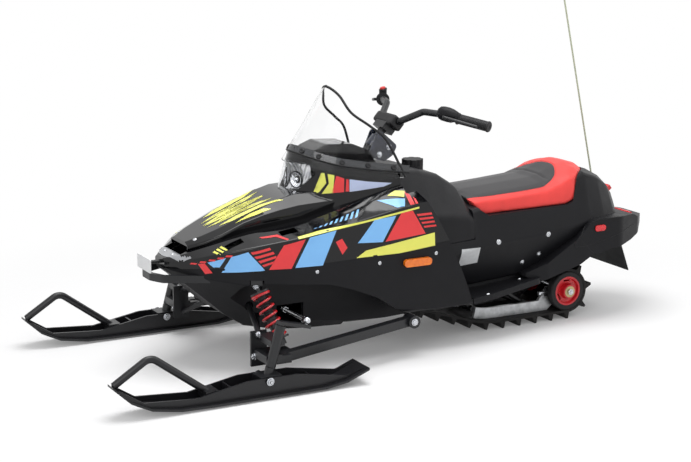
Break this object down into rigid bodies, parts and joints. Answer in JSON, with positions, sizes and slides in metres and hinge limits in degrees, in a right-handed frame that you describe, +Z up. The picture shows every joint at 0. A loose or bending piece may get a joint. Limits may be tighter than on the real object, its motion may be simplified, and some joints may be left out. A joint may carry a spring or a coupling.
{
  "type": "youth snowmobile",
  "caption": "Youth snowmobile with a moulded hood and screen, long seat, flag whip, one lugged rubber track and two steered skis on coil-sprung arms.",
  "frame": {"origin": "on the ground under the middle of the overall box", "axes": "+X forward, +Y to the rider's left, +Z up"},
  "size_m": [2.105, 0.91, 1.8057],
  "materials": {
    "black_gloss": "glossy black moulded plastic with printed stripes",
    "black_matte": "fine-grained matte black plastic",
    "clear": "clear screen",
    "lamp_glass": "clear lamp cover",
    "reflector": "bright reflector",
    "dark_blue": "glossy blue-black paint",
    "black_steel": "satin black powder coat",
    "seat_cover": "black vinyl top with a red border",
    "grey_metal": "natural aluminium",
    "red_paint": "gloss red",
    "steel": "zinc plated",
    "rubber": "black moulded rubber",
    "red_plastic": "gloss red plastic",
    "tyre": "solid rubber tyre",
    "amber_lens": "prismatic orange reflector",
    "red_lens": "red lens",
    "white_plate": "blank white plate",
    "flag_cloth": "thin orange cloth",
    "fibreglass": "pale fibreglass rod",
    "engine_metal": "plain mass"
  },
  "bodies": {
    "chassis": {"belly_pan": "black_matte", "hood": "black_gloss", "cowl": "black_gloss", "windshield": "clear", "headlight_lens": "lamp_glass", "headlight_bowl": "reflector", "steering_neck": "dark_blue", "instrument_pod": "black_matte", "fuel_tank": "black_matte", "fuel_cap": "black_matte", "rear_body": "black_matte", "seat": "seat_cover", "rear_fender": "black_matte", "tunnel": "black_steel", "footboards": "black_matte", "front_frame": "black_steel", "engine_block": "engine_metal", "swing_arms": "black_steel", "radius_rods": "black_steel", "shock_absorbers": "black_steel", "shock_springs": "red_paint", "track": "rubber", "slide_rails": "grey_metal", "suspension_arms": "black_steel", "rear_axle": "steel", "idler_wheels": "red_plastic", "idler_tyres": "tyre", "drive_axle": "black_steel", "snow_flap": "rubber", "flag_whip": "fibreglass", "flag": "flag_cloth", "front_bumper": "black_steel", "number_plate": "white_plate", "amber_reflectors": "amber_lens", "red_lenses": "red_lens"},
    "handlebar_assembly": {"steering_column": "black_steel", "handlebar": "black_steel", "grips": "rubber", "bar_pad": "black_matte", "brake_lever": "black_matte", "switch_block": "black_matte"},
    "left_ski_assembly": {"left_ski": "black_matte", "left_ski_loop": "black_matte", "left_spindle": "black_steel"},
    "right_ski_assembly": {"right_ski": "black_matte", "right_ski_loop": "black_matte", "right_spindle": "black_steel"},
    "left_tie_rod_link": {"left_tie_rod": "steel"},
    "right_tie_rod_link": {"right_tie_rod": "steel"}
  },
  "joints": [
    {"name": "steer_bar", "type": "hinge", "parent": "chassis", "child": "handlebar_assembly", "pos_m": [-0.052, 0, 0.692], "axis": [-0.6561, 0, 0.7547], "range_deg": [-36, 36]},
    {"name": "left_ski_steer", "type": "hinge", "parent": "chassis", "child": "left_ski_assembly", "pos_m": [0.558, 0.4, 0.052], "axis": [-0.274, 0, 0.9617], "range_deg": [-28, 28]},
    {"name": "left_tie_rod_swing", "type": "hinge", "parent": "left_ski_assembly", "child": "left_tie_rod_link", "pos_m": [0.41956, 0.382, 0.20218], "axis": [-0.274, 0, 0.9617], "range_deg": [-34, 34]},
    {"name": "right_ski_steer", "type": "hinge", "parent": "chassis", "child": "right_ski_assembly", "pos_m": [0.558, -0.4, 0.052], "axis": [-0.274, 0, 0.9617], "range_deg": [-28, 28]},
    {"name": "right_tie_rod_swing", "type": "hinge", "parent": "right_ski_assembly", "child": "right_tie_rod_link", "pos_m": [0.41956, -0.382, 0.20218], "axis": [-0.274, 0, 0.9617], "range_deg": [-34, 34]}
  ],
  "couplings": [
    {"joint": "left_ski_steer", "follows": "steer_bar", "ratio": 0.76},
    {"joint": "left_tie_rod_swing", "follows": "steer_bar", "ratio": -0.9},
    {"joint": "right_ski_steer", "follows": "steer_bar", "ratio": 0.76},
    {"joint": "right_tie_rod_swing", "follows": "steer_bar", "ratio": -0.9}
  ]
}
